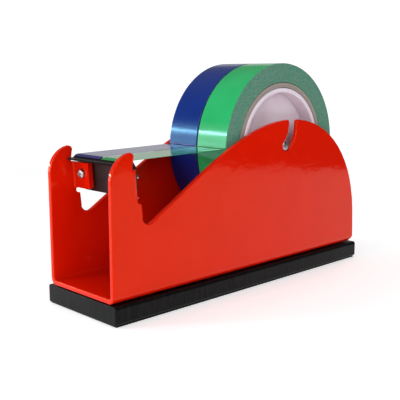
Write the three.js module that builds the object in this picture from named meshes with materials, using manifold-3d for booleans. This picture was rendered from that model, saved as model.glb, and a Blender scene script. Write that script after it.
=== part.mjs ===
// A heavy bench dispenser for two rolls of 25 mm tape.
// A bent sheet-steel channel stands on a weighted slab. Two hubs turn side by side on a plain axle
// that drops into a J-shaped slot in each side wall, and a serrated blade is screwed to two tabs
// folded in from the front horns.
//
// Millimetres, +Z up. The front, where the tape is torn off, is at -X. The near wall is at -Y.
// The origin is the middle of the underside.
import * as THREE from "three";
import { mergeVertices } from "three/addons/utils/BufferGeometryUtils.js";
import Module from "manifold-3d";

const wasm = await Module();
wasm.setup();

// ---------------------------------------------------------------- driving dimensions

const contactGap = 0.3; // left between pieces that touch
const cutPast = 3; // a cut starts and ends this far outside what it cuts
const degree = Math.PI / 180;

// weighted slab and the mat under it
const slabLength = 225;
const slabHeight = 10.7;
const slabSideMargin = 2.5; // the slab stands out past each wall
const slabEdge = 1.2; // the long edges are broken, with a small flat
const matHeight = 0.5;
const matInset = 1;

// tape
const tapeWidth = 25;
const rollGap = 1;
const rollRadius = 53.6;
const coreInnerRadius = 38.1; // a 3 inch core
const coreWall = 3.1;
const stripThickness = 0.3;
const stripEndSetback = 0.4; // roof's foot to the cut end of the tape
const stripRise = 2; // the tape leaves the roll this far above the axle

// channel
const sheet = 3;
const bendInnerRadius = 1.5;
const rollSideClearance = 1.5;
const channelFrontMargin = 0.5;
const channelRearMargin = 1;
const rollFloorClearance = 19.6;

// hub and axle
const hubWall = 2.8;
const hubFit = 0.3; // hub to core, on the radius
const hubWeb = 3;
const hubRecess = 10; // outer rim to the web
const bossRadius = 7;
const bossSetback = 3.2; // boss end to the outer rim
const axleRadius = 3.2;
const axleRunningGap = 0.25;
const axleInset = 1.2; // axle end to the wall's outer face
const axleFromRear = 78.8;
const axleChamfer = 0.6;
const clipThickness = 0.9;
const clipRadius = 6;
const clipGrooveDepth = 0.6;

// J slots and the hump round them
const slotSideClearance = 0.8; // beside the axle, so that it drops in easily
const slotWidth = 2 * (axleRadius + slotSideClearance);
const slotOffset = 6; // the mouth stands behind the seat
const slotBendAboveAxle = 8; // the slot's curve is pulled straight down to here
const slotSeatPull = 5.5; // and then towards a point this far above the axle
const slotLean = 1.5; // and this far in front of the mouth
const humpAboveAxle = 17.4;
const humpOffset = 3.3;
const rearShoulderHeight = 28; // above the underside, where the back edge turns upright
const rearCornerRadius = 5;

// tear blade
const bladeSheet = 1;
const ridgeAboveAxle = 0.4;
const ridgeFromFront = 17.8; // wall's front edge to the ridge
const bladeDrop = 20.9; // ridge to the blade's lower edge
const bladeSideGap = 0.5;
const bladeCornerCut = 5;
const roofRun = 2.5;
const roofDrop = 1.9;
const lipRun = 3.2;
const toothDepth = 1.5;
const toothCount = 30;

// horns and the tabs folded from them
const hornRadius = 15.6;
const hornTipRadius = 2.5;
const hornAboveRidge = 5.3;
const hornTipAngle = 100 * degree; // where the tip's small round leaves the horn's large one
const hornTipEnd = -30 * degree;
const hornHook = 0.6; // the edge under the tip runs back in front of it
const tabLean = 4 * degree;
const tabFromFront = 16.4; // wall's front edge to the tab's front face
const tabReach = 14.6; // wall's inner face to the tab's free end
const tabTopBelowRidge = 4.4;
const tabHeight = 15.4;
const tabBendInnerRadius = 1;
const tabCornerRadius = 2.5;
const reliefHeight = 3.3;
const reliefFromBend = 1.7;
const throatFromFront = 26.1;
const throatBelowRidge = 30.2;
const throatRadius = 5;
const throatLean = 13.6 * degree; // the throat's front side leans forward
const throatLipRadius = 1.2;
const rampAngle = 31.3 * degree;
const rampRun = 36.6;

// fasteners
const screwRadius = 1.5; // M3
const screwHeadRadius = 2.8;
const screwHeadHeight = 2;
const screwLength = 11;
const screwFromWall = 8.2; // wall's inner face to the screw
const screwBelowRidge = 10.9;
const screwClearance = 0.2;
const nutAcrossFlats = 5.5;
const nutHeight = 2.4;
const baseScrewRadius = 2.5; // M5
const baseScrewHeadRadius = 4.75;
const baseScrewHeadHeight = 3;
const baseScrewLength = 9;
const baseScrewSpacing = 130;
const screwHoleSpare = 1; // the slab's holes are deeper than the screws by this

const roundSegments = 72;
const smallSegments = 24;
const wallCurveSegments = 16;
const bendSegments = 8;

// ---------------------------------------------------------------- places worked out from them

const slabBottom = matHeight + contactGap;
const slabTop = slabBottom + slabHeight;
const channelBottom = slabTop + contactGap;
const floorTop = channelBottom + sheet;
const innerHalf = tapeWidth + rollGap / 2 + rollSideClearance;
const outerHalf = innerHalf + sheet;
const slabWidth = 2 * (outerHalf + slabSideMargin);
const frontX = -slabLength / 2 + channelFrontMargin;
const rearX = slabLength / 2 - channelRearMargin;

const axleX = rearX - axleFromRear;
const axleZ = floorTop + rollFloorClearance + rollRadius;
const humpX = axleX + humpOffset;
const humpZ = axleZ + humpAboveAxle;
const ridgeZ = axleZ + ridgeAboveAxle;

const tabTop = ridgeZ - tabTopBelowRidge;
const tabBottom = tabTop - tabHeight;
const tabMiddle = (tabTop + tabBottom) / 2;
const tabFrontX = frontX + tabFromFront; // at tabMiddle, because the tab leans
const tabRearX = tabFrontX + sheet;
const tabBendOuterRadius = tabBendInnerRadius + sheet;
const tabBendX = tabRearX - tabBendOuterRadius;
const leanAt = (z) => -(z - tabMiddle) * Math.tan(tabLean);

const bladeFrontX = tabRearX + contactGap; // the upright part's front face, at tabMiddle
const bladeRearX = bladeFrontX + bladeSheet;
const bladeHalf = innerHalf - bladeSideGap;
const ridgeX = frontX + ridgeFromFront;

const screwY = innerHalf - screwFromWall;
const screwZ = ridgeZ - screwBelowRidge;

// ---------------------------------------------------------------- helpers

// A closed geometry as a solid that can be joined and cut.
function solidOf(geometry) {
  const bare = geometry.index ? geometry.toNonIndexed() : geometry.clone();
  bare.deleteAttribute("normal");
  bare.deleteAttribute("uv");
  const merged = mergeVertices(bare, 1e-4);
  return new wasm.Manifold(
    new wasm.Mesh({
      numProp: 3,
      vertProperties: new Float32Array(merged.attributes.position.array),
      triVerts: new Uint32Array(merged.index.array),
    }),
  );
}

function geometryOf(solid) {
  const made = solid.getMesh();
  const geometry = new THREE.BufferGeometry();
  geometry.setAttribute("position", new THREE.BufferAttribute(made.vertProperties, 3));
  geometry.setIndex(new THREE.BufferAttribute(made.triVerts, 1));
  geometry.computeVertexNormals();
  return geometry;
}

// A shape drawn in X and Z, as a slab from yLow to yHigh.
function slabAcross(shape, yLow, yHigh, curveSegments = 12) {
  const geometry = new THREE.ExtrudeGeometry(shape, {
    depth: yHigh - yLow,
    bevelEnabled: false,
    curveSegments,
  });
  geometry.rotateX(Math.PI / 2);
  return geometry.translate(0, yHigh, 0);
}

// A shape drawn in Y and Z, as a bar from xLow to xHigh.
function barAlong(shape, xLow, xHigh) {
  const geometry = new THREE.ExtrudeGeometry(shape, {
    depth: xHigh - xLow,
    bevelEnabled: false,
    curveSegments: bendSegments,
  });
  const drawnToPart = new THREE.Matrix4().makeBasis(
    new THREE.Vector3(0, 1, 0),
    new THREE.Vector3(0, 0, 1),
    new THREE.Vector3(1, 0, 0),
  );
  return geometry.applyMatrix4(drawnToPart).translate(xLow, 0, 0);
}

// A shape drawn in X and Y, as a plate from zLow to zHigh.
function plateUp(shape, zLow, zHigh) {
  return new THREE.ExtrudeGeometry(shape, {
    depth: zHigh - zLow,
    bevelEnabled: false,
    curveSegments: bendSegments,
  }).translate(0, 0, zLow);
}

// A ring or disc about Y, from a profile of [radius, y] pairs that closes on itself.
function ringAboutY(profile, segments = roundSegments) {
  const points = [...profile, profile[0]].map(([r, y]) => new THREE.Vector2(r, y));
  return new THREE.LatheGeometry(points, segments);
}

// A turned piece about Y, from a profile that starts and ends on the axis.
function turnedAboutY(profile, segments = smallSegments) {
  const points = profile.map(([r, y]) => new THREE.Vector2(r, y));
  return new THREE.LatheGeometry(points, segments);
}

function rectangle(x0, y0, x1, y1) {
  const shape = new THREE.Shape();
  shape.moveTo(x0, y0);
  shape.lineTo(x1, y0);
  shape.lineTo(x1, y1);
  shape.lineTo(x0, y1);
  shape.closePath();
  return shape;
}

// Slides each level of a geometry to the front with its height, so that it leans and stays level on top.
function slanted(geometry) {
  const slant = new THREE.Matrix4().makeShear(0, 0, 0, 0, -Math.tan(tabLean), 0);
  return geometry.translate(0, 0, -tabMiddle).applyMatrix4(slant).translate(0, 0, tabMiddle);
}

// Tips a geometry about Y so that its top leans to the front, round the tab's middle.
function leaned(geometry) {
  return geometry
    .translate(-tabFrontX, 0, -tabMiddle)
    .rotateY(-tabLean)
    .translate(tabFrontX, 0, tabMiddle);
}

// The far piece is the near one turned over in the X-Z plane.
function mirrored(geometry) {
  const flat = geometry.index ? geometry.toNonIndexed() : geometry.clone();
  flat.scale(1, -1, 1);
  const at = flat.attributes.position;
  for (let i = 0; i < at.count; i += 3) {
    const [x, y, z] = [at.getX(i + 1), at.getY(i + 1), at.getZ(i + 1)];
    at.setXYZ(i + 1, at.getX(i + 2), at.getY(i + 2), at.getZ(i + 2));
    at.setXYZ(i + 2, x, y, z);
  }
  return flat;
}

// ---------------------------------------------------------------- materials

const paintRed = new THREE.MeshStandardMaterial({ color: 0xdc2c12, roughness: 0.22, metalness: 0 });
const paintBlack = new THREE.MeshStandardMaterial({ color: 0x1d1e1f, roughness: 0.55, metalness: 0 });
const rubberBlack = new THREE.MeshStandardMaterial({ color: 0x141414, roughness: 0.9, metalness: 0 });
const bladeBlack = new THREE.MeshStandardMaterial({ color: 0x1c1615, roughness: 0.45, metalness: 0 });
const zincSteel = new THREE.MeshStandardMaterial({ color: 0xb9bcc0, roughness: 0.3, metalness: 1 });
const hubWhite = new THREE.MeshStandardMaterial({ color: 0xe9e2ea, roughness: 0.4, metalness: 0 });
const board = new THREE.MeshStandardMaterial({ color: 0xa98f80, roughness: 0.9, metalness: 0 });
const tapeGreen = new THREE.MeshStandardMaterial({ color: 0x2fb866, roughness: 0.25, metalness: 0 });
const tapeBlue = new THREE.MeshStandardMaterial({ color: 0x1c3a9c, roughness: 0.25, metalness: 0 });

const dispenser = new THREE.Group();

function add(name, geometry, material) {
  const mesh = new THREE.Mesh(geometry, material);
  mesh.name = name;
  dispenser.add(mesh);
}

// ---------------------------------------------------------------- channel

// The folded section: floor and two walls, with a bend along each lower corner.
function channelSection(top) {
  const bendOuter = bendInnerRadius + sheet;
  const bendY = innerHalf - bendInnerRadius; // the middle of each bend
  const bendZ = floorTop + bendInnerRadius;
  const shape = new THREE.Shape();
  shape.moveTo(-outerHalf, top);
  shape.lineTo(-outerHalf, bendZ);
  shape.absarc(-bendY, bendZ, bendOuter, Math.PI, 1.5 * Math.PI, false);
  shape.lineTo(bendY, channelBottom);
  shape.absarc(bendY, bendZ, bendOuter, 1.5 * Math.PI, 2 * Math.PI, false);
  shape.lineTo(outerHalf, top);
  shape.lineTo(innerHalf, top);
  shape.lineTo(innerHalf, bendZ);
  shape.absarc(bendY, bendZ, bendInnerRadius, 0, -Math.PI / 2, true);
  shape.lineTo(-bendY, floorTop);
  shape.absarc(-bendY, bendZ, bendInnerRadius, 1.5 * Math.PI, Math.PI, true);
  shape.lineTo(-innerHalf, top);
  shape.closePath();
  return shape;
}

// The side view of both walls: horn, throat, ramp, hump over the axle and the rounded back.
function wallOutline() {
  const hornCentre = [frontX + hornRadius, ridgeZ + hornAboveRidge - hornRadius];
  const tipCentre = [
    hornCentre[0] + (hornRadius - hornTipRadius) * Math.cos(hornTipAngle),
    hornCentre[1] + (hornRadius - hornTipRadius) * Math.sin(hornTipAngle),
  ];
  const reliefRadius = reliefHeight / 2;
  const reliefX = tabBendX + leanAt(tabBottom) + reliefFromBend + reliefRadius;
  const reliefMiddle = tabBottom - reliefRadius;
  const lipMiddle = tabBottom - reliefHeight - throatLipRadius;
  const throat = [frontX + throatFromFront, ridgeZ - throatBelowRidge];
  const throatStart = Math.PI + throatLean;
  const throatEnd = 1.5 * Math.PI + rampAngle;
  const rampStart = [
    throat[0] + throatRadius * Math.cos(throatEnd),
    throat[1] + throatRadius * Math.sin(throatEnd),
  ];
  const rampEnd = [
    rampStart[0] + rampRun * Math.cos(rampAngle),
    rampStart[1] + rampRun * Math.sin(rampAngle),
  ];
  const rampPull = 30; // how far each curve keeps its end's direction
  const humpFrontPull = 32;
  const humpRearPull = 45;
  const rearPull = 46;

  const shape = new THREE.Shape();
  shape.moveTo(frontX, channelBottom);
  shape.lineTo(frontX, hornCentre[1]);
  shape.absarc(...hornCentre, hornRadius, Math.PI, hornTipAngle, true);
  shape.absarc(...tipCentre, hornTipRadius, hornTipAngle, hornTipEnd, true);
  shape.lineTo(tipCentre[0] + hornTipRadius - hornHook, ridgeZ - hornHook);
  shape.lineTo(tabBendX + leanAt(tabTop), tabTop);
  shape.lineTo(tabBendX + leanAt(tabBottom), tabBottom);
  shape.lineTo(reliefX, tabBottom);
  shape.absarc(reliefX, reliefMiddle, reliefRadius, Math.PI / 2, 1.5 * Math.PI, false);
  shape.lineTo(reliefX, tabBottom - reliefHeight);
  shape.absarc(reliefX, lipMiddle, throatLipRadius, Math.PI / 2, throatLean, true);
  shape.absarc(...throat, throatRadius, throatStart, throatEnd, false);
  shape.lineTo(...rampEnd);
  shape.bezierCurveTo(
    rampEnd[0] + rampPull * Math.cos(rampAngle),
    rampEnd[1] + rampPull * Math.sin(rampAngle),
    humpX - humpFrontPull,
    humpZ,
    humpX,
    humpZ,
  );
  shape.bezierCurveTo(
    humpX + humpRearPull,
    humpZ,
    rearX,
    rearShoulderHeight + rearPull,
    rearX,
    rearShoulderHeight,
  );
  shape.lineTo(rearX, channelBottom + rearCornerRadius);
  shape.absarc(
    rearX - rearCornerRadius,
    channelBottom + rearCornerRadius,
    rearCornerRadius,
    0,
    -Math.PI / 2,
    true,
  );
  shape.closePath();
  return shape;
}

// The J slot: a band of one width along a curve, with a round seat.
function slotOutline() {
  const half = slotWidth / 2;
  const seatZ = axleZ - axleRadius - contactGap + half;
  const middle = new THREE.CubicBezierCurve(
    new THREE.Vector2(axleX + slotOffset, humpZ + cutPast),
    new THREE.Vector2(axleX + slotOffset, axleZ + slotBendAboveAxle),
    new THREE.Vector2(axleX + slotOffset - slotLean, axleZ + slotSeatPull),
    new THREE.Vector2(axleX, seatZ),
  );
  const steps = 12;
  const front = [];
  const rear = [];
  for (let i = 0; i <= steps; i += 1) {
    const at = middle.getPoint(i / steps);
    const along = middle.getTangent(i / steps);
    front.push(new THREE.Vector2(at.x + along.y * half, at.y - along.x * half));
    rear.push(new THREE.Vector2(at.x - along.y * half, at.y + along.x * half));
  }
  const end = middle.getTangent(1);
  const startAngle = Math.atan2(-end.x, end.y);
  const seatSteps = 8;
  const seat = [];
  for (let i = 1; i < seatSteps; i += 1) {
    const angle = startAngle + (Math.PI * i) / seatSteps;
    seat.push(new THREE.Vector2(axleX + half * Math.cos(angle), seatZ + half * Math.sin(angle)));
  }
  return new THREE.Shape([...front, ...seat, ...rear.reverse()]);
}

// One tab, folded inwards from the near wall's horn, with its screw hole.
function nearTab() {
  const overlap = 2; // sunk into the wall, so that the two join
  const bendCentreY = -outerHalf + tabBendOuterRadius;
  const freeEnd = -innerHalf + tabReach;
  const shape = new THREE.Shape();
  shape.moveTo(tabBendX - overlap, -outerHalf);
  shape.lineTo(tabBendX, -outerHalf);
  shape.absarc(tabBendX, bendCentreY, tabBendOuterRadius, -Math.PI / 2, 0, false);
  shape.lineTo(tabRearX, freeEnd);
  shape.lineTo(tabFrontX, freeEnd);
  shape.lineTo(tabFrontX, bendCentreY);
  shape.absarc(tabBendX, bendCentreY, tabBendInnerRadius, 0, -Math.PI / 2, true);
  shape.lineTo(tabBendX - overlap, -innerHalf);
  shape.closePath();
  const folded = solidOf(plateUp(shape, tabBottom, tabTop));

  // The free lower corner is rounded, in the tab's own plane.
  const corner = new THREE.Shape();
  corner.moveTo(freeEnd - tabCornerRadius, tabBottom - cutPast);
  corner.lineTo(freeEnd + cutPast, tabBottom - cutPast);
  corner.lineTo(freeEnd + cutPast, tabBottom + tabCornerRadius);
  corner.lineTo(freeEnd, tabBottom + tabCornerRadius);
  corner.absarc(
    freeEnd - tabCornerRadius,
    tabBottom + tabCornerRadius,
    tabCornerRadius,
    0,
    -Math.PI / 2,
    true,
  );
  corner.closePath();
  const offcut = solidOf(barAlong(corner, tabFrontX - cutPast, tabRearX + cutPast));
  const hole = new THREE.CylinderGeometry(
    screwRadius + screwClearance,
    screwRadius + screwClearance,
    3 * sheet,
    smallSegments,
  )
    .rotateZ(Math.PI / 2)
    .translate(tabFrontX + sheet / 2, -screwY, screwZ);
  const tab = solidOf(slanted(geometryOf(folded.subtract(offcut))));
  return geometryOf(tab.subtract(solidOf(leaned(hole))));
}

function channel() {
  const cutHalf = outerHalf + cutPast;
  let body = solidOf(barAlong(channelSection(humpZ + cutPast), frontX, rearX));
  body = body.intersect(solidOf(slabAcross(wallOutline(), -cutHalf, cutHalf, wallCurveSegments)));
  body = body.subtract(solidOf(slabAcross(slotOutline(), -cutHalf, cutHalf)));
  const tab = nearTab();
  body = body.add(solidOf(tab)).add(solidOf(mirrored(tab)));
  for (const x of [-baseScrewSpacing / 2, baseScrewSpacing / 2]) {
    const hole = new THREE.CylinderGeometry(
      baseScrewRadius + screwClearance,
      baseScrewRadius + screwClearance,
      3 * sheet,
      smallSegments,
    )
      .rotateX(Math.PI / 2)
      .translate(x, 0, channelBottom + sheet / 2);
    body = body.subtract(solidOf(hole));
  }
  return geometryOf(body);
}

add("body_channel", channel(), paintRed);

// ---------------------------------------------------------------- slab, mat and their screws

function weightSlab() {
  const half = slabWidth / 2;
  const section = new THREE.Shape();
  section.moveTo(-half + slabEdge, slabBottom);
  section.lineTo(half - slabEdge, slabBottom);
  section.lineTo(half, slabBottom + slabEdge);
  section.lineTo(half, slabTop - slabEdge);
  section.lineTo(half - slabEdge, slabTop);
  section.lineTo(-half + slabEdge, slabTop);
  section.lineTo(-half, slabTop - slabEdge);
  section.lineTo(-half, slabBottom + slabEdge);
  section.closePath();
  let slab = solidOf(barAlong(section, -slabLength / 2, slabLength / 2));
  const holeRadius = baseScrewRadius + screwClearance;
  const holeDepth = baseScrewLength - sheet + screwHoleSpare;
  for (const x of [-baseScrewSpacing / 2, baseScrewSpacing / 2]) {
    const hole = new THREE.CylinderGeometry(holeRadius, holeRadius, 2 * holeDepth, smallSegments)
      .rotateX(Math.PI / 2)
      .translate(x, 0, slabTop);
    slab = slab.subtract(solidOf(hole));
  }
  return geometryOf(slab);
}

add("weight_slab", weightSlab(), paintBlack);

const matHalfLength = slabLength / 2 - matInset;
const matHalfWidth = slabWidth / 2 - matInset;
add(
  "anti_slip_mat",
  plateUp(rectangle(-matHalfLength, -matHalfWidth, matHalfLength, matHalfWidth), 0, matHeight),
  rubberBlack,
);

// A pan-head screw about Y with its head's flat side at y = 0, pointing to -Y, and a cross recess.
function panScrew(radius, headRadius, headHeight, length) {
  const domeSteps = 4;
  const rimHeight = 0.35 * headHeight;
  const tipChamfer = 0.3;
  const profile = [
    [0, -length],
    [radius - tipChamfer, -length],
    [radius, -length + tipChamfer],
    [radius, 0],
    [headRadius, 0],
    [headRadius, rimHeight],
  ];
  for (let i = 1; i <= domeSteps; i += 1) {
    const angle = (i / domeSteps) * (Math.PI / 2);
    profile.push([
      i === domeSteps ? 0 : headRadius * Math.cos(angle),
      rimHeight + (headHeight - rimHeight) * Math.sin(angle),
    ]);
  }
  let screw = solidOf(turnedAboutY(profile));
  const slotLong = 1.1 * headRadius;
  const slotWide = 0.28 * headRadius;
  for (const [x, z] of [
    [slotLong, slotWide],
    [slotWide, slotLong],
  ]) {
    const slot = new THREE.BoxGeometry(x, headHeight, z).translate(0, headHeight, 0);
    screw = screw.subtract(solidOf(slot));
  }
  return geometryOf(screw);
}

for (const [name, x] of [
  ["base_screw_front", -baseScrewSpacing / 2],
  ["base_screw_rear", baseScrewSpacing / 2],
]) {
  const screw = panScrew(baseScrewRadius, baseScrewHeadRadius, baseScrewHeadHeight, baseScrewLength);
  add(name, screw.rotateX(Math.PI / 2).translate(x, 0, floorTop + contactGap), zincSteel);
}

// ---------------------------------------------------------------- tear blade and its fasteners

// The side view of a folded sheet: its outer face follows the path and its inner face is on the left.
function foldedSheet(path, thickness) {
  const last = path.length - 1;
  const inner = path.map((at, i) => {
    const before = path[Math.max(i, 1)].clone().sub(path[Math.max(i, 1) - 1]).normalize();
    const after = path[Math.min(i + 1, last)].clone().sub(path[Math.min(i + 1, last) - 1]).normalize();
    const mean = before.clone().add(after).normalize();
    const reach = thickness / mean.dot(before);
    return new THREE.Vector2(at.x - mean.y * reach, at.y + mean.x * reach);
  });
  return new THREE.Shape([...path, ...inner.reverse()]);
}

// Upright behind the tabs, then a ridge, a roof that falls to the front, and a level toothed lip.
function tearBlade() {
  const lower = ridgeZ - bladeDrop;
  const kneeZ = tabTop + bladeSheet / 2; // clear of the tabs before it folds over them
  const lipTop = ridgeZ - roofDrop;
  const lipX = ridgeX - roofRun - lipRun;
  const path = [
    new THREE.Vector2(bladeRearX + leanAt(lower), lower),
    new THREE.Vector2(bladeRearX + leanAt(kneeZ), kneeZ),
    new THREE.Vector2(ridgeX, ridgeZ),
    new THREE.Vector2(ridgeX - roofRun, lipTop),
    new THREE.Vector2(lipX, lipTop),
  ];
  let blade = solidOf(slabAcross(foldedSheet(path, bladeSheet), -bladeHalf, bladeHalf));

  const pitch = (2 * bladeHalf) / toothCount;
  const root = lipX + bladeSheet / 2;
  const teeth = new THREE.Shape();
  teeth.moveTo(root, -bladeHalf);
  teeth.lineTo(root, bladeHalf);
  teeth.lineTo(lipX, bladeHalf);
  for (let i = 0; i < toothCount; i += 1) {
    teeth.lineTo(lipX - toothDepth, bladeHalf - (i + 0.5) * pitch);
    teeth.lineTo(lipX, bladeHalf - (i + 1) * pitch);
  }
  teeth.closePath();
  blade = blade.add(solidOf(plateUp(teeth, lipTop - bladeSheet, lipTop)));

  for (const side of [-1, 1]) {
    const radius = screwRadius + screwClearance;
    const hole = new THREE.CylinderGeometry(radius, radius, 4 * bladeSheet, smallSegments)
      .rotateZ(Math.PI / 2)
      .translate((bladeFrontX + bladeRearX) / 2, side * screwY, screwZ);
    blade = blade.subtract(solidOf(leaned(hole)));

    // Each lower corner is cut off at 45 degrees.
    const corner = new THREE.Shape();
    corner.moveTo(side * (bladeHalf - bladeCornerCut - cutPast), lower - cutPast);
    corner.lineTo(side * (bladeHalf + cutPast), lower - cutPast);
    corner.lineTo(side * (bladeHalf + cutPast), lower + bladeCornerCut + cutPast);
    corner.closePath();
    blade = blade.subtract(solidOf(barAlong(corner, bladeFrontX - cutPast, bladeRearX + cutPast)));
  }
  return geometryOf(blade);
}

add("tear_blade", tearBlade(), bladeBlack);

function hexNut() {
  const cornerRadius = nutAcrossFlats / 2 / Math.cos(30 * degree);
  const shape = new THREE.Shape();
  for (let i = 0; i < 6; i += 1) {
    const angle = i * 60 * degree;
    const at = [cornerRadius * Math.cos(angle), cornerRadius * Math.sin(angle)];
    if (i === 0) shape.moveTo(...at);
    else shape.lineTo(...at);
  }
  shape.closePath();
  const hole = new THREE.Path();
  hole.absarc(0, 0, screwRadius + screwClearance, 0, 2 * Math.PI, true);
  shape.holes.push(hole);
  return barAlong(shape, 0, nutHeight);
}

for (const [side, y] of [
  ["near", -screwY],
  ["far", screwY],
]) {
  const screw = panScrew(screwRadius, screwHeadRadius, screwHeadHeight, screwLength)
    .rotateZ(Math.PI / 2)
    .translate(tabFrontX - contactGap, y, screwZ);
  add(`blade_screw_${side}`, leaned(screw), zincSteel);
  const nut = hexNut().translate(bladeRearX + contactGap, y, screwZ);
  add(`blade_nut_${side}`, leaned(nut), zincSteel);
}

// ---------------------------------------------------------------- axle and clips

const hubOuterEnd = rollGap / 2 + tapeWidth;
const bossEnd = hubOuterEnd - bossSetback;
const clipStart = bossEnd + contactGap;
const clipEnd = clipStart + clipThickness;

function axle() {
  const half = outerHalf - axleInset;
  const groove = axleRadius - clipGrooveDepth;
  const slack = 0.15; // the groove is wider than its clip by this on each side
  const upper = [
    [axleRadius, clipStart - slack],
    [groove, clipStart - slack],
    [groove, clipEnd + slack],
    [axleRadius, clipEnd + slack],
    [axleRadius, half - axleChamfer],
    [axleRadius - axleChamfer, half],
    [0, half],
  ];
  const lower = upper.map(([r, y]) => [r, -y]).reverse();
  return turnedAboutY([...lower, ...upper]).translate(axleX, 0, axleZ);
}

add("axle", axle(), zincSteel);

// An open retaining clip: a washer with a mouth that snaps over the groove.
function retainingClip() {
  const inner = axleRadius - clipGrooveDepth + 0.2;
  const mouth = 1.5 * inner;
  const opening = Math.asin(mouth / 2 / inner);
  const outerOpening = Math.asin(mouth / 2 / clipRadius);
  const shape = new THREE.Shape();
  shape.absarc(0, 0, clipRadius, -Math.PI / 2 + outerOpening, 1.5 * Math.PI - outerOpening, false);
  shape.absarc(0, 0, inner, 1.5 * Math.PI - opening, -Math.PI / 2 + opening, true);
  shape.closePath();
  return slabAcross(shape, clipStart, clipEnd, smallSegments);
}

const farClip = retainingClip();
add("axle_clip_near", mirrored(farClip).translate(axleX, 0, axleZ), zincSteel);
add("axle_clip_far", farClip.translate(axleX, 0, axleZ), zincSteel);

// ---------------------------------------------------------------- hubs, cores, rolls

// Profiles run from the middle of the dispenser outwards, for the far side.
const hubRadius = coreInnerRadius - hubFit;
const hubInner = hubRadius - hubWall;
const boreRadius = axleRadius + axleRunningGap;
const start = rollGap / 2;
const webOuter = hubOuterEnd - hubRecess;
const webInner = webOuter - hubWeb;
const coreOuterRadius = coreInnerRadius + coreWall;

const hubProfile = [
  [hubRadius, start],
  [hubRadius, hubOuterEnd],
  [hubInner, hubOuterEnd],
  [hubInner, webOuter],
  [bossRadius, webOuter],
  [bossRadius, bossEnd],
  [boreRadius, bossEnd],
  [boreRadius, start],
  [bossRadius, start],
  [bossRadius, webInner],
  [hubInner, webInner],
  [hubInner, start],
];
const coreProfile = [
  [coreOuterRadius, start],
  [coreOuterRadius, hubOuterEnd],
  [coreInnerRadius, hubOuterEnd],
  [coreInnerRadius, start],
];
const tapeProfile = [
  [rollRadius, start],
  [rollRadius, hubOuterEnd],
  [coreOuterRadius + contactGap, hubOuterEnd],
  [coreOuterRadius + contactGap, start],
];

for (const [side, colour, tapeMaterial] of [
  ["near", "green", tapeGreen],
  ["far", "blue", tapeBlue],
]) {
  const place = (profile) => {
    const far = ringAboutY(profile);
    return (side === "near" ? mirrored(far) : far).translate(axleX, 0, axleZ);
  };
  add(`hub_${side}`, place(hubProfile), hubWhite);
  add(`core_${side}`, place(coreProfile), board);
  add(`tape_roll_${colour}`, place(tapeProfile), tapeMaterial);
}

// ---------------------------------------------------------------- free ends of the tape

// From the front of the roll, level to the blade's ridge and down its roof.
function stripOutline() {
  const rollX = axleX - Math.sqrt((rollRadius + 2 * contactGap) ** 2 - stripRise ** 2);
  const under = contactGap;
  const over = contactGap + stripThickness;
  const roofAngle = Math.atan(roofDrop / roofRun);
  const normal = [-Math.sin(roofAngle), Math.cos(roofAngle)];
  const endX = ridgeX - roofRun + stripEndSetback;
  const endZ = ridgeZ - roofDrop + stripEndSetback * Math.tan(roofAngle);
  const ridgeBack = 0.4;
  const shape = new THREE.Shape();
  shape.moveTo(rollX, axleZ + stripRise - stripThickness / 2);
  shape.lineTo(rollX, axleZ + stripRise + stripThickness / 2);
  shape.lineTo(ridgeX + ridgeBack, ridgeZ + over);
  shape.lineTo(ridgeX + over * normal[0], ridgeZ + over * normal[1]);
  shape.lineTo(endX + over * normal[0], endZ + over * normal[1]);
  shape.lineTo(endX + under * normal[0], endZ + under * normal[1]);
  shape.lineTo(ridgeX + under * normal[0], ridgeZ + under * normal[1]);
  shape.lineTo(ridgeX + ridgeBack, ridgeZ + under);
  shape.closePath();
  return shape;
}

add("strip_green", slabAcross(stripOutline(), -hubOuterEnd, -start), tapeGreen);
add("strip_blue", slabAcross(stripOutline(), start, hubOuterEnd), tapeBlue);

export default dispenser;
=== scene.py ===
# %% [markdown]
# # A bench dispenser for two rolls of tape
#
# The dispenser is a strip of steel folded into a channel, standing on a heavy slab. Two rolls
# of tape turn on hubs that share one axle, and the free ends lie on a toothed blade.
# The frame gives every part's true size and place. These cells give each part its finish:
# rounded edges, wound layers, moulded fillets, thin film, paint, plating and plastic.

# %% Load the frame
import math

import bmesh
import bpy
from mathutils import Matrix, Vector


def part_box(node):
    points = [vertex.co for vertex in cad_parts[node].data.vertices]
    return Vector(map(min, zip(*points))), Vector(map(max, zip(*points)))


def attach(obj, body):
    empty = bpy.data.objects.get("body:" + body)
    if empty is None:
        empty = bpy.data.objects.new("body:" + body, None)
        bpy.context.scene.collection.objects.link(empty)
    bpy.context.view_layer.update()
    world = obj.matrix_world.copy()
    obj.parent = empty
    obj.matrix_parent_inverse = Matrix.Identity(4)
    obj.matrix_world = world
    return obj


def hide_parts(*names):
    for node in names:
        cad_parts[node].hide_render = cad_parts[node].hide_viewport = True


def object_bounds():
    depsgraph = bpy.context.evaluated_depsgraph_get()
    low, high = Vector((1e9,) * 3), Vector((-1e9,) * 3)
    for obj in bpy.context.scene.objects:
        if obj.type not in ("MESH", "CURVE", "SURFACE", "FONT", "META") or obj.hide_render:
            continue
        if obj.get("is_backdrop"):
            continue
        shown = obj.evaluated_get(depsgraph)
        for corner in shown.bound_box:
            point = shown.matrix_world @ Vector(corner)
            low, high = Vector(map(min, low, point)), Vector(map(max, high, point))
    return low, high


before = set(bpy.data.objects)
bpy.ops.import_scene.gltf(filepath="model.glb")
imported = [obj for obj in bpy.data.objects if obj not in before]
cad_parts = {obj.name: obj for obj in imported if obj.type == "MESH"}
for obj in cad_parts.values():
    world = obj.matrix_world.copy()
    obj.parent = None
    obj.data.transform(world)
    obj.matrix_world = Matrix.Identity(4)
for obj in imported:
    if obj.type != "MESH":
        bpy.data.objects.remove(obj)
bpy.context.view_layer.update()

MM = 0.001

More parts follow.
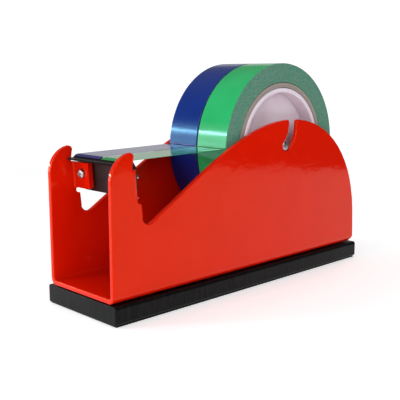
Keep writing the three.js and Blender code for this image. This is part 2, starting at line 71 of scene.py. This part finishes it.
# %% [markdown]
# ## Places that everything else is measured from
#
# A part made later has to fit parts made earlier, so its place is read from the frame
# and not typed in again. The axle gives the line that the rolls turn on, and the rolls,
# cores and hubs give the radii.

# %% Places and radii
def middle(node):
    low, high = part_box(node)
    return (low + high) / 2


def reach(node):
    """Half of a round part's width across X: its outer radius."""
    low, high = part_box(node)
    return (high.x - low.x) / 2


axle_at = middle("axle")
roll_radius = reach("tape_roll_green")
core_radius = reach("core_near")
hub_radius = reach("hub_near")
axle_radius = reach("axle")
tape_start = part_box("tape_roll_blue")[0].y
tape_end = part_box("tape_roll_blue")[1].y
print("axle", tuple(axle_at), "roll radius", roll_radius)

# %% [markdown]
# ## The camera
#
# The dispenser is seen from its front left corner, a little from above, through a lens
# a bit longer than normal. That keeps the upright edges nearly parallel, as in a
# catalogue picture. The camera is turned by two angles, because a third would tilt it.

# %% Camera
camera_azimuth = math.radians(-44.32)
camera_elevation = math.radians(9.83)
camera = bpy.data.objects.new("camera", bpy.data.cameras.new("camera"))
bpy.context.scene.collection.objects.link(camera)
camera.location = Vector((-340.1, -329.9, 134.6)) * MM
back = Vector((
    math.sin(camera_azimuth) * math.cos(camera_elevation),
    -math.cos(camera_azimuth) * math.cos(camera_elevation),
    math.sin(camera_elevation),
))
camera.rotation_mode = "QUATERNION"
camera.rotation_quaternion = (-back).to_track_quat("-Z", "Y")
camera.data.sensor_width = 36
camera.data.lens = 65.4
camera.data.clip_start = 0.01
camera.data.clip_end = 20
bpy.context.scene.camera = camera
bpy.context.scene.view_settings.view_transform = "Standard"
print("camera at", tuple(camera.location), "lens", camera.data.lens)

# %% [markdown]
# ## Three helpers for materials
#
# A colour picked from a swatch is in sRGB, and the shader wants linear light, so one
# function turns the first into the second. Another adds a node with its settings and
# its links in one call, so that a material reads as a short list of steps. Every pattern
# reads Object coordinates: all pieces have their origin at the frame's origin, so one
# unit of the pattern is one metre on the real part, and nothing slides when a roll turns.

# %% Material helpers
def linear(code):
    """An sRGB hex colour as linear red, green, blue and alpha."""
    parts = [int(code[i:i + 2], 16) / 255 for i in (1, 3, 5)]
    return [c / 12.92 if c <= 0.04045 else ((c + 0.055) / 1.055) ** 2.4 for c in parts] + [1.0]


def add(tree, kind, settings=None, inputs=None, links=None):
    """Adds a node, sets its properties and socket values, and links sockets to earlier nodes."""
    node = tree.nodes.new(kind)
    for name, value in (settings or {}).items():
        setattr(node, name, value)
    for name, value in (inputs or {}).items():
        node.inputs[name].default_value = value
    for name, source in (links or {}).items():
        tree.links.new(source, node.inputs[name])
    return node


def material(name, shader_inputs):
    """A new material with one Principled shader, its node tree, its shader and Object coordinates."""
    made = bpy.data.materials.new(name)
    made.use_nodes = True
    tree = made.node_tree
    shader = tree.nodes["Principled BSDF"]
    for socket, value in shader_inputs.items():
        shader.inputs[socket].default_value = value
    place = add(tree, "ShaderNodeTexCoord").outputs["Object"]
    return made, tree, shader, place


def noise(tree, place, size, detail=3.0, roughness=0.5):
    """A noise pattern whose lumps are about size metres across."""
    return add(
        tree, "ShaderNodeTexNoise", None,
        {"Scale": 1 / size, "Detail": detail, "Roughness": roughness}, {"Vector": place},
    ).outputs["Fac"]


def ramp(tree, value, stops):
    """Turns a value into a colour: stops are (position, hex colour)."""
    node = add(tree, "ShaderNodeValToRGB", None, None, {"Fac": value})
    elements = node.color_ramp.elements
    while len(elements) < len(stops):
        elements.new(0.5)
    for element, (position, code) in zip(elements, stops):
        element.position = position
        element.color = linear(code)
    return node.outputs["Color"]


def spread(tree, value, low, high):
    """Maps a 0 to 1 value onto a range, such as a range of roughness."""
    return add(
        tree, "ShaderNodeMapRange", None, {"To Min": low, "To Max": high}, {"Value": value},
    ).outputs["Result"]


def bump(tree, height, distance, strength=1.0, before=None):
    """Raises the surface by up to distance metres where height is 1."""
    links = {"Height": height}
    if before is not None:
        links["Normal"] = before
    return add(
        tree, "ShaderNodeBump", None, {"Distance": distance, "Strength": strength}, links,
    ).outputs["Normal"]


# %% [markdown]
# ## Powder coat
#
# The channel and the slab are powder coated: dry powder is sprayed on and melted in an
# oven. It flows into a thick, rounded film with a faint lumpy skin called orange peel.
# The lumps are about 2 mm across and lie on slower waves about 9 mm across. Both are less
# than a tenth of a millimetre high: too low to see as shapes, but they make the edge of
# a reflection wavy. So they are a bump, not geometry. The red is glossy, and its shine is
# tinted so that it stays red. The black is satin, and fine upright streaks in its tone
# and its roughness keep the slab from looking like a flat cut-out.

# %% Powder coats
def glossy_red_powder_coat():
    made, tree, shader, place = material("powder_coat_gloss_red", {
        "Roughness": 0.07, "IOR": 1.5, "Specular Tint": (1.0, 0.4, 0.12, 1.0),
    })
    tone = ramp(tree, noise(tree, place, 30 * MM), [(0.3, "#D71702"), (0.7, "#DD1A03")])
    tree.links.new(tone, shader.inputs["Base Color"])
    peel = bump(tree, noise(tree, place, 2.2 * MM, 2.0), 0.035 * MM, 1.0)
    waves = bump(tree, noise(tree, place, 9 * MM, 1.0), 0.09 * MM, 1.0, peel)
    tree.links.new(waves, shader.inputs["Normal"])
    return made


def satin_black_powder_coat():
    made, tree, shader, place = material("powder_coat_satin_black", {
        "IOR": 1.5, "Specular IOR Level": 0.12,
    })
    streaks = add(tree, "ShaderNodeMapping", None, {"Scale": (1.0, 1.0, 0.12)}, {"Vector": place})
    streak = noise(tree, streaks.outputs["Vector"], 1.6 * MM, 4.0, 0.6)
    tone = ramp(tree, streak, [(0.38, "#020304"), (0.62, "#101314")])
    tree.links.new(tone, shader.inputs["Base Color"])
    tree.links.new(spread(tree, streak, 0.25, 0.45), shader.inputs["Roughness"])
    peel = bump(tree, noise(tree, place, 0.9 * MM, 2.0), 0.02 * MM, 0.8)
    tree.links.new(peel, shader.inputs["Normal"])
    return made


red_coat = glossy_red_powder_coat()
black_coat = satin_black_powder_coat()
print("coats:", red_coat.name, black_coat.name)

# %% [markdown]
# ## Steel: zinc plate and a blackened blade
#
# Screws, nuts, clips and the axle are zinc plated: a bright grey metal with a slightly
# uneven shine. Fine turning lines run round the axle. The blade is hardened strip that
# has been blackened in hot salts. It keeps the strip's rolled grain. Its base colour is
# brown-black with a red cast: partly the finish's own tone, partly a painted reflection
# of the red channel round it.

# %% Steels
def zinc_plated_steel():
    made, tree, shader, place = material("zinc_plated_steel", {"Metallic": 1.0})
    cloud = noise(tree, place, 1.5 * MM, 3.0)
    tree.links.new(ramp(tree, cloud, [(0.3, "#A9ACB0"), (0.7, "#CDD0D3")]), shader.inputs["Base Color"])
    tree.links.new(spread(tree, cloud, 0.2, 0.36), shader.inputs["Roughness"])
    rings = add(tree, "ShaderNodeMapping", None, {"Scale": (0.05, 1.0, 0.05)}, {"Vector": place})
    lines = noise(tree, rings.outputs["Vector"], 0.25 * MM, 2.0)
    tree.links.new(bump(tree, lines, 0.005 * MM), shader.inputs["Normal"])
    return made


def blackened_steel():
    made, tree, shader, place = material("blackened_strip_steel", {
        "IOR": 1.6, "Specular IOR Level": 0.18,
    })
    grain_place = add(tree, "ShaderNodeMapping", None, {"Scale": (1.0, 0.06, 1.0)}, {"Vector": place})
    grain = noise(tree, grain_place.outputs["Vector"], 0.7 * MM, 4.0, 0.6)
    # The red cast in these browns is a painted reflection of the red channel; the dark base and the
    # grain are the blackened finish's own.
    tree.links.new(ramp(tree, grain, [(0.3, "#120707"), (0.7, "#1F0D0D")]), shader.inputs["Base Color"])
    tree.links.new(spread(tree, grain, 0.28, 0.5), shader.inputs["Roughness"])
    tree.links.new(bump(tree, grain, 0.01 * MM), shader.inputs["Normal"])
    return made


zinc = zinc_plated_steel()
black_steel = blackened_steel()
print("steels:", zinc.name, black_steel.name)

# %% [markdown]
# ## Rubber, hub plastic and cardboard
#
# The mat is plain black rubber. The hubs are injection-moulded polypropylene, which is
# slightly milky, so a little light passes under its skin. A core is many turns of brown
# paper glued together, so its cut end shows thin rings. Those rings depend only on the
# distance from the axle, and a one-dimensional noise of that distance draws them.

# %% Rubber, plastic and cardboard
def distance_from_axle(tree, place):
    """The distance of a point from the line that the rolls turn on, in metres."""
    centred = add(
        tree, "ShaderNodeMapping", None,
        {"Location": (-axle_at.x, 0.0, -axle_at.z), "Scale": (1.0, 0.0, 1.0)}, {"Vector": place},
    )
    return add(
        tree, "ShaderNodeVectorMath", {"operation": "LENGTH"}, None,
        {"Vector": centred.outputs["Vector"]},
    ).outputs["Value"]


def rings(tree, radius, pitch, detail=2.0):
    """Rings round the axle, about pitch metres apart, each a little different."""
    return add(
        tree, "ShaderNodeTexNoise", {"noise_dimensions": "1D"},
        {"Scale": 1 / pitch, "Detail": detail}, {"W": radius},
    ).outputs["Fac"]


def mixed(tree, first, second, share):
    """Blends two values."""
    node = add(
        tree, "ShaderNodeMix", {"data_type": "FLOAT"}, {"Factor": share}, {"A": first, "B": second},
    )
    return node.outputs["Result"]


def black_rubber():
    made, tree, shader, place = material("black_rubber", {"IOR": 1.52, "Roughness": 0.8})
    dust = noise(tree, place, 3 * MM, 4.0)
    tree.links.new(ramp(tree, dust, [(0.3, "#101010"), (0.7, "#1B1A1A")]), shader.inputs["Base Color"])
    tree.links.new(bump(tree, noise(tree, place, 0.5 * MM), 0.03 * MM), shader.inputs["Normal"])
    return made


def moulded_polypropylene():
    made, tree, shader, place = material("moulded_polypropylene_white", {
        "IOR": 1.49, "Roughness": 0.38,
        "Subsurface Weight": 0.12, "Subsurface Radius": (0.003, 0.002, 0.002), "Subsurface Scale": 1.0,
    })
    tone = ramp(tree, noise(tree, place, 14 * MM), [(0.3, "#E2D4E0"), (0.7, "#EBE0EA")])
    tree.links.new(tone, shader.inputs["Base Color"])
    grain = bump(tree, noise(tree, place, 0.6 * MM, 2.0), 0.01 * MM)
    flow = bump(tree, noise(tree, place, 8 * MM, 1.0), 0.05 * MM, 1.0, grain)
    tree.links.new(flow, shader.inputs["Normal"])
    return made


def wound_cardboard():
    made, tree, shader, place = material("wound_cardboard", {"IOR": 1.45, "Roughness": 0.85})
    plies = rings(tree, distance_from_axle(tree, place), 0.5 * MM)
    fibres = noise(tree, place, 0.8 * MM, 4.0, 0.7)
    both = mixed(tree, plies, fibres, 0.4)
    tone = ramp(tree, both, [(0.35, "#776A63"), (0.5, "#978B84"), (0.65, "#B0A49E")])
    tree.links.new(tone, shader.inputs["Base Color"])
    tree.links.new(bump(tree, both, 0.08 * MM), shader.inputs["Normal"])
    return made


rubber = black_rubber()
hub_plastic = moulded_polypropylene()
cardboard = wound_cardboard()
print("others:", rubber.name, hub_plastic.name, cardboard.name)

# %% [markdown]
# ## Tape: the outer wrap and the cut edges of the winding
#
# Packing tape is a glossy plastic film with glue on its back. Round the outside the film
# shines, with low ripples across it where it was pulled on unevenly. The dye tints that
# shine: cool on the wound rolls, and nearly white on the single film of the free ends,
# which is also duller in colour, having no layers under it. The flat sides of
# a roll are something else: the cut edges of hundreds of turns, each 0.06 mm thick. They
# look dull, greyer than the film, and speckled where dust has stuck to the glue. Turns
# that thin can't show in a picture, so the rings are drawn 0.45 mm apart.

# %% Tapes
def tape_film(name, dark, light, tint, roughness):
    made, tree, shader, place = material(name, {
        "IOR": 1.52, "Roughness": roughness, "Specular Tint": tint,
    })
    tone = ramp(tree, noise(tree, place, 20 * MM), [(0.3, dark), (0.7, light)])
    tree.links.new(tone, shader.inputs["Base Color"])
    across = add(tree, "ShaderNodeMapping", None, {"Scale": (1.0, 0.08, 1.0)}, {"Vector": place})
    ripples = bump(tree, noise(tree, across.outputs["Vector"], 4.5 * MM, 2.0), 0.05 * MM)
    dimples = bump(tree, noise(tree, place, 2.2 * MM, 2.0), 0.012 * MM, 1.0, ripples)
    tree.links.new(dimples, shader.inputs["Normal"])
    return made


def tape_edges(name, dark, light, dust):
    made, tree, shader, place = material(name, {"IOR": 1.45, "Specular IOR Level": 0.35})
    turns = rings(tree, distance_from_axle(tree, place), 0.45 * MM, 3.0)
    specks = noise(tree, place, 1.1 * MM, 4.0, 0.75)
    both = mixed(tree, turns, specks, 0.6)
    tone = ramp(tree, both, [(0.39, dark), (0.5, light), (0.6, dust)])
    tree.links.new(tone, shader.inputs["Base Color"])
    tree.links.new(spread(tree, specks, 0.45, 0.75), shader.inputs["Roughness"])
    tree.links.new(bump(tree, both, 0.06 * MM), shader.inputs["Normal"])
    return made


cool_green = (0.6, 1.0, 0.95, 1.0)
cool_blue = (0.2, 0.7, 1.0, 1.0)
white = (1.0, 1.0, 1.0, 1.0)
warm_white = (1.0, 0.85, 0.9, 1.0)
green_film = tape_film("polypropylene_film_green", "#1DA459", "#25AC63", cool_green, 0.14)
blue_film = tape_film("polypropylene_film_blue", "#071F6C", "#0A2678", cool_blue, 0.18)
single_green_film = tape_film("polypropylene_single_film_green", "#2A8545", "#32904E", white, 0.14)
single_blue_film = tape_film("polypropylene_single_film_blue", "#1F2464", "#262B72", warm_white, 0.14)
green_edges = tape_edges("wound_film_edges_green", "#34795F", "#508D78", "#85897F")
blue_edges = tape_edges("wound_film_edges_blue", "#18295C", "#2A4078", "#646B86")
print("films and edges:", green_film.name, blue_film.name, green_edges.name, blue_edges.name)

# %% [markdown]
# ## Helpers for pieces
#
# Every piece ends the same way: its bmesh becomes a mesh at the frame's origin, it gets
# its material, it stands for its CAD part, and it rides on its body. Shading is smooth
# except across sharp edges, which is what a rounded metal part looks like.

# %% Piece helpers
def finished(bm, name, node, body, materials, smooth_below=35):
    """Turns a bmesh into a piece that stands for a CAD node and rides on a body."""
    for face in bm.faces:
        face.smooth = True
    for edge in bm.edges:
        folded = len(edge.link_faces) == 2 and edge.calc_face_angle(0) > math.radians(smooth_below)
        edge.smooth = not folded
    mesh = bpy.data.meshes.new(name)
    bm.to_mesh(mesh)
    bm.free()
    piece = bpy.data.objects.new(name, mesh)
    bpy.context.scene.collection.objects.link(piece)
    for finish in materials:
        mesh.materials.append(finish)
    shading = piece.modifiers.new("flat_faces_shade_flat", "WEIGHTED_NORMAL")
    shading.keep_sharp = True
    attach(piece, body)
    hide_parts(node)
    print(name, "has", len(mesh.polygons), "faces")
    return piece


def merged_copy(node, closer_than=0.02 * MM):
    """A CAD part's shape with its vertices joined and its flat faces whole."""
    bm = bmesh.new()
    bm.from_mesh(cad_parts[node].data)
    bmesh.ops.remove_doubles(bm, verts=bm.verts, dist=closer_than)
    bmesh.ops.dissolve_limit(
        bm, angle_limit=math.radians(1), use_dissolve_boundaries=False,
        verts=bm.verts, edges=bm.edges, delimit=set(),
    )
    return bm


def round_edges(bm, radius, segments=2, sharper_than=40, only=None):
    """Rounds the edges that are sharper than an angle, and that pass a test if there is one."""
    sharp = [
        e for e in bm.edges
        if e.is_convex
        and e.calc_face_angle(0) > math.radians(sharper_than)
        and (only is None or only(e))
    ]
    bmesh.ops.bevel(
        bm, geom=sharp, offset=radius, offset_type="OFFSET", affect="EDGES",
        segments=segments, profile=0.5, material=-1, clamp_overlap=False,
    )


def turned(profile, segments=128):
    """Spins a closed profile of (radius, y) round the axle's line."""
    bm = bmesh.new()
    corners = [bm.verts.new((axle_at.x + r, y, axle_at.z)) for r, y in profile]
    loop = [bm.edges.new((a, b)) for a, b in zip(corners, corners[1:] + corners[:1])]
    bmesh.ops.spin(
        bm, geom=corners + loop, cent=axle_at, axis=(0, 1, 0), dvec=(0, 0, 0),
        angle=2 * math.pi, steps=segments, use_merge=True, use_duplicate=False,
    )
    bmesh.ops.remove_doubles(bm, verts=bm.verts, dist=0.001 * MM)
    bmesh.ops.recalc_face_normals(bm, faces=bm.faces)
    return bm


# %% [markdown]
# ## The folded channel
#
# On the real channel every cut edge is softened before painting, and the powder rounds it
# further. A sharp edge in the render would look like paper. The flat shape is already
# right, so a copy of it is merged and its edges are bevelled. Tiny edges are joined
# first, because a bevel wider than the edge it starts from folds over itself.

# %% Channel
channel_low, channel_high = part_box("body_channel")
ridge_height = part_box("tear_blade")[1].z
tab_screw = middle("blade_screw_near")
slot_mouth_round = 1.5 * MM
edge_round = 0.7 * MM

# Where a bend runs into another shape, its edges are too short for a bevel: middle x, z and radius.
crowded = [
    (channel_high.x - 2.5 * MM, channel_low.z + 2.7 * MM, 4.5 * MM),
    (tab_screw.x - 1.0 * MM, tab_screw.z - 9.4 * MM, 5.0 * MM),
    (tab_screw.x - 2.5 * MM, tab_screw.z + 6.5 * MM, 2.4 * MM),
]


def is_slot_mouth(edge):
    a, b = (v.co for v in edge.verts)
    level = abs(a.x - b.x) < 0.1 * MM and abs(a.z - b.z) < 0.1 * MM
    return level and a.z > channel_high.z - 1.0 * MM and abs(a.x - axle_at.x - 6.0 * MM) < 5.0 * MM


def has_room(edge):
    return not any(
        math.hypot(v.co.x - x, v.co.z - z) < radius for v in edge.verts for x, z, radius in crowded
    )


channel = merged_copy("body_channel")
round_edges(channel, slot_mouth_round, 4, only=is_slot_mouth)
round_edges(channel, edge_round, 3, only=has_room)
finished(channel, "folded_channel", "body_channel", "stand", [red_coat])

# %% [markdown]
# ## The slab and its mat
#
# The slab is thick bar, saw cut, with its edges knocked off before coating. The mat under
# it is cut from rubber sheet, so its edges stay crisp.

# %% Slab and mat
corner_round = 1.0 * MM
long_edge_round = 0.3 * MM
mat_edge_round = 0.2 * MM


def is_upright(edge):
    a, b = (v.co for v in edge.verts)
    return math.hypot(a.x - b.x, a.y - b.y) < 0.1 * MM


slab = merged_copy("weight_slab")
round_edges(slab, corner_round, 4, only=is_upright)
round_edges(slab, long_edge_round, 2)
finished(slab, "weight_bar", "weight_slab", "stand", [black_coat])

mat = merged_copy("anti_slip_mat")
round_edges(mat, mat_edge_round, 2)
finished(mat, "rubber_mat", "anti_slip_mat", "stand", [rubber])

# %% [markdown]
# ## The blade
#
# The blade is stamped and folded from thin strip. Its edges get only a very small bevel,
# because it has to stay sharp enough to tear film.

# %% Blade
blade = merged_copy("tear_blade", 0.3 * MM)
round_edges(blade, 0.08 * MM, 1, 60)
finished(blade, "folded_blade", "tear_blade", "stand", [black_steel])

# %% [markdown]
# ## Screws and nuts
#
# The fasteners are small, so a fine bevel is enough to catch the light along each edge.

# %% Fasteners
for node in ["blade_screw_near", "blade_screw_far", "blade_nut_near", "blade_nut_far",
             "base_screw_front", "base_screw_rear"]:
    fastener = merged_copy(node, 0.1 * MM)
    round_edges(fastener, 0.1 * MM, 1, 50)
    finished(fastener, f"{node}_plated", node, "stand", [zinc])

# %% [markdown]
# ## The axle and its clips
#
# The axle is a turned rod: spinning half of its outline gives the whole of it. The clips
# are stamped from spring steel, with one rounded edge from the die.

# %% Axle and clips
axle_half = (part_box("axle")[1].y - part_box("axle")[0].y) / 2
chamfer = 0.6 * MM
axle = turned([
    (0.0, -axle_half), (axle_radius - chamfer, -axle_half), (axle_radius, -axle_half + chamfer),
    (axle_radius, axle_half - chamfer), (axle_radius - chamfer, axle_half), (0.0, axle_half),
], 48)
round_edges(axle, 0.15 * MM, 2, 30)
finished(axle, "axle_rod", "axle", "axle_set", [zinc])

for side in ["near", "far"]:
    clip = merged_copy(f"axle_clip_{side}", 0.05 * MM)
    round_edges(clip, 0.12 * MM, 1, 60)
    finished(clip, f"spring_clip_{side}", f"axle_clip_{side}", "axle_set", [zinc])

# %% [markdown]
# ## Hubs, cores and rolls
#
# All three are turned shapes. A hub's mould leaves a generous fillet where the web meets
# the wall, and small rounds everywhere else. A roll's outer corners are hardly rounded,
# because they are only the film's own edge, and its sides take the second material.

# %% Hubs, cores and rolls
hub_wall = 2.8 * MM
hub_web = 3.0 * MM
hub_recess = 10.0 * MM
boss_radius = 7.0 * MM
boss_setback = 3.2 * MM
bore_radius = axle_radius + 0.25 * MM
web_fillet = 2.4 * MM


def hub(sign):
    inner = hub_radius - hub_wall
    web_outer = tape_end - hub_recess
    web_inner = web_outer - hub_web
    boss_end = tape_end - boss_setback
    bm = turned([(r, sign * y) for r, y in [
        (hub_radius, tape_start), (hub_radius, tape_end), (inner, tape_end), (inner, web_outer),
        (boss_radius, web_outer), (boss_radius, boss_end), (bore_radius, boss_end),
        (bore_radius, tape_start), (boss_radius, tape_start), (boss_radius, web_inner),
        (inner, web_inner), (inner, tape_start),
    ]])

    def at_web_corner(edge):
        radius = math.hypot(edge.verts[0].co.x - axle_at.x, edge.verts[0].co.z - axle_at.z)
        depth = abs(edge.verts[0].co.y)
        return abs(radius - inner) < 0.2 * MM and abs(depth - web_outer) < 0.2 * MM

    round_edges(bm, web_fillet, 5, only=at_web_corner)
    round_edges(bm, 0.5 * MM, 3)
    return bm


def core(sign):
    wall_inner = core_radius - 3.1 * MM
    bm = turned([(r, sign * y) for r, y in [
        (core_radius, tape_start), (core_radius, tape_end),
        (wall_inner, tape_end), (wall_inner, tape_start),
    ]])
    round_edges(bm, 0.2 * MM, 2)
    return bm


def roll(sign):
    bm = turned([(r, sign * y) for r, y in [
        (roll_radius, tape_start), (roll_radius, tape_end),
        (core_radius + 0.3 * MM, tape_end), (core_radius + 0.3 * MM, tape_start),
    ]], 192)
    round_edges(bm, 0.3 * MM, 2)
    for face in bm.faces:
        face.material_index = 1 if abs(face.normal.y) > 0.5 else 0
    return bm


for side, sign, colour, film, edges in [
    ("near", -1, "green", green_film, green_edges),
    ("far", 1, "blue", blue_film, blue_edges),
]:
    body = f"{side}_roll"
    finished(hub(sign), f"moulded_hub_{side}", f"hub_{side}", body, [hub_plastic])
    finished(core(sign), f"paper_core_{side}", f"core_{side}", body, [cardboard])
    finished(
        roll(sign), f"wound_tape_{colour}", f"tape_roll_{colour}", body, [film, edges],
    )

# %% [markdown]
# ## The free ends of the tape
#
# Each free end is film 0.06 mm thick, drawn a little thicker so that it survives as a
# solid. It peels off the front of its roll in a tight curve, runs level and taut to the
# blade's ridge, folds over it and lies on the roof, and its end is cut to a zigzag. A row of vertices across the tape is extruded step by step along that path,
# and then the sheet gets its thickness.

# %% Free ends
strip_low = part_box("strip_green")[0]
film_thickness = 0.12 * MM
teeth = 14  # across one tape, at the blade's own spacing
tooth_bite = 0.8 * MM
film_clearance = 0.1 * MM  # kept above the blade's ridge
roll_clearance = 0.15 * MM  # kept in front of the roll, so that it can turn
peel_radius = 0.6 * MM
peel_above_axle = 1.6 * MM
peel_steps = 6
ridge_from_end = 2.9 * MM
fold_run = 0.3 * MM
fold_drop = 0.08 * MM
level_steps = 16
roof_steps = 4


def strip_path():
    """Points along the film's underside, from the roll to its cut end."""
    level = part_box("tear_blade")[1].z + film_clearance
    roll_front = axle_at.x - roll_radius - roll_clearance
    start_z = axle_at.z + peel_above_axle
    points = []
    for step in range(peel_steps + 1):
        angle = math.radians(90 * step / peel_steps)
        points.append((
            roll_front - peel_radius * (1 - math.cos(angle)),
            start_z + peel_radius * (1 - math.sin(angle)),
        ))
    peel_x, peel_z = points[-1]
    ridge_x = strip_low.x + ridge_from_end
    for step in range(1, level_steps):
        share = step / level_steps
        points.append((peel_x + (ridge_x - peel_x) * share, peel_z + (level - peel_z) * share))
    points.append((ridge_x + fold_run, level))
    points.append((ridge_x, level - fold_drop))
    end_x = strip_low.x + 0.1 * MM
    end_z = strip_low.z + 0.15 * MM
    for step in range(1, roof_steps + 1):
        share = step / roof_steps
        points.append((ridge_x + (end_x - ridge_x) * share, level + (end_z - level) * share))
    return points


def free_end(low_y, high_y):
    bm = bmesh.new()
    path = strip_path()
    width = high_y - low_y
    count = 2 * teeth
    start_x, start_z = path[0]
    row = [bm.verts.new((start_x, low_y + width * i / count, start_z)) for i in range(count + 1)]
    edges = [bm.edges.new(pair) for pair in zip(row, row[1:])]
    last = path[0]
    for x, z in path[1:]:
        made = bmesh.ops.extrude_edge_only(bm, edges=edges)["geom"]
        row = [v for v in made if isinstance(v, bmesh.types.BMVert)]
        edges = [e for e in made if isinstance(e, bmesh.types.BMEdge) and all(v in row for v in e.verts)]
        bmesh.ops.translate(bm, verts=row, vec=(x - last[0], 0, z - last[1]))
        last = (x, z)
    across = sorted(row, key=lambda v: v.co.y)
    down = (Vector((path[-1][0], 0, path[-1][1])) - Vector((path[-2][0], 0, path[-2][1]))).normalized()
    bmesh.ops.translate(bm, verts=across[1::2], vec=-down * tooth_bite)
    bmesh.ops.recalc_face_normals(bm, faces=bm.faces)
    if sum(f.normal.z for f in bm.faces) < 0:
        bmesh.ops.reverse_faces(bm, faces=bm.faces)
    bmesh.ops.solidify(bm, geom=bm.faces[:], thickness=-film_thickness)
    bmesh.ops.recalc_face_normals(bm, faces=bm.faces)
    return bm


film_margin = 0.1 * MM
for colour, film in [("green", single_green_film), ("blue", single_blue_film)]:
    low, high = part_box(f"strip_{colour}")
    finished(
        free_end(low.y + film_margin, high.y - film_margin),
        f"free_end_{colour}", f"strip_{colour}", "stand", [film], 25,
    )

# %% [markdown]
# ## The floor
#
# A catalogue picture is lit so that the table burns out to white. The floor is a pale
# disc that glows a little, so that only the deepest contact shadows are left on it.

# %% Floor
floor_mesh = bmesh.new()
bmesh.ops.create_circle(floor_mesh, cap_ends=True, segments=128, radius=0.62)
floor_data = bpy.data.meshes.new("floor")
floor_mesh.to_mesh(floor_data)
floor_mesh.free()
floor = bpy.data.objects.new("floor", floor_data)
bpy.context.scene.collection.objects.link(floor)
floor_finish = material("matt_white_board", {
    "Base Color": linear("#F8F6F7"), "Roughness": 0.7, "Specular IOR Level": 0.2,
    "Emission Color": linear("#FFFFFF"), "Emission Strength": 0.4,
})[0]
floor_data.materials.append(floor_finish)
floor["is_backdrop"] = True
print("floor finish:", floor_finish.name)

# %% [markdown]
# ## Backdrop and light
#
# What the camera sees behind the floor is plain white. What the paint and film reflect
# is a studio: white low down on the left, a little greyer behind, and dark on the right,
# which is why the upper part of the side looks deeper than the lower part. Large lights
# give the soft shading, and narrow ones draw the bright lines on the rolls and edges.

# %% Studio
def softbox(name, place, target, width, height, power, colour="#FFFFFF"):
    """A rectangular light at place, facing target. Places are in metres."""
    lamp = bpy.data.lights.new(name, "AREA")
    lamp.shape = "RECTANGLE"
    lamp.size = width
    lamp.size_y = height
    lamp.energy = power
    lamp.color = linear(colour)[:3]
    holder = bpy.data.objects.new(name, lamp)
    bpy.context.scene.collection.objects.link(holder)
    holder.location = place
    holder.rotation_mode = "QUATERNION"
    holder.rotation_quaternion = (Vector(target) - Vector(place)).to_track_quat("-Z", "Y")
    holder.visible_camera = False
    return holder


centre = (0.0, 0.0, 0.06)
softbox("key", (-0.35, -1.1, 0.7), centre, 1.0, 1.0, 7.7)
softbox("front", (-1.1, -0.35, 0.45), centre, 0.6, 0.6, 2.0)
softbox("top", (0.0, 0.0, 1.2), centre, 1.2, 1.2, 2.2)
softbox("back_right", (0.85, 0.15, 0.85), centre, 0.5, 0.5, 2)
softbox("edge_glint", (-0.9, 0.54, 0.54), centre, 0.08, 0.5, 1.5)
softbox("left_wall", (-1.0, 0.97, 0.22), (0.0, 0.0, 0.1), 1.0, 0.4, 3.2)
softbox("left_strip", (-0.95, 0.95, 0.37), (0.0, 0.0, 0.1), 0.9, 0.05, 5, "#DDF4FF")
softbox("left_low_strip", (-0.95, 0.95, 0.1), (0.0, 0.0, 0.1), 0.9, 0.03, 0.4, "#DDF4FF")

world = bpy.data.worlds.new("studio")
bpy.context.scene.world = world
world.use_nodes = True
tree = world.node_tree
background = tree.nodes["Background"]
direction = add(tree, "ShaderNodeTexCoord").outputs["Generated"]
toward_right = add(
    tree, "ShaderNodeVectorMath", {"operation": "DOT_PRODUCT"}, {1: (0.71, -0.71, 0.0)}, {0: direction},
).outputs["Value"]
side_shade = add(
    tree, "ShaderNodeMapRange", {"interpolation_type": "SMOOTHSTEP"},
    {"From Min": -0.1, "From Max": 0.5, "To Min": 1.0, "To Max": 0.04}, {"Value": toward_right},
).outputs["Result"]
height = add(tree, "ShaderNodeSeparateXYZ", None, None, {"Vector": direction}).outputs["Z"]
high_shade = add(
    tree, "ShaderNodeMapRange", {"interpolation_type": "SMOOTHSTEP"},
    {"From Min": 0.28, "From Max": 0.4, "To Min": 1.0, "To Max": 0.3}, {"Value": height},
).outputs["Result"]
toward_back = add(
    tree, "ShaderNodeVectorMath", {"operation": "DOT_PRODUCT"}, {1: (0.71, 0.71, 0.0)}, {0: direction},
).outputs["Value"]
back_shade = add(
    tree, "ShaderNodeMapRange", {"interpolation_type": "SMOOTHSTEP"},
    {"From Min": 0.5, "From Max": 0.85, "To Min": 1.0, "To Max": 0.68}, {"Value": toward_back},
).outputs["Result"]
walls = add(
    tree, "ShaderNodeMath", {"operation": "MULTIPLY"}, None, {0: side_shade, 1: back_shade},
).outputs["Value"]
studio = add(
    tree, "ShaderNodeMath", {"operation": "MULTIPLY"}, None, {0: walls, 1: high_shade},
).outputs["Value"]
seen = add(tree, "ShaderNodeLightPath").outputs["Is Camera Ray"]
shown_strength = add(
    tree, "ShaderNodeMix", {"data_type": "FLOAT"}, {"B": 1.1}, {"Factor": seen, "A": studio},
).outputs["Result"]
background.inputs["Color"].default_value = linear("#FFFFFF")
tree.links.new(shown_strength, background.inputs["Strength"])

# %% [markdown]
# ## Sizes, and the end of the script
#
# The box round every visible piece, the floor left out, is found. The visual model has to
# stay inside the CAD model's box.

# %% Sizes and finish
low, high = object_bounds()
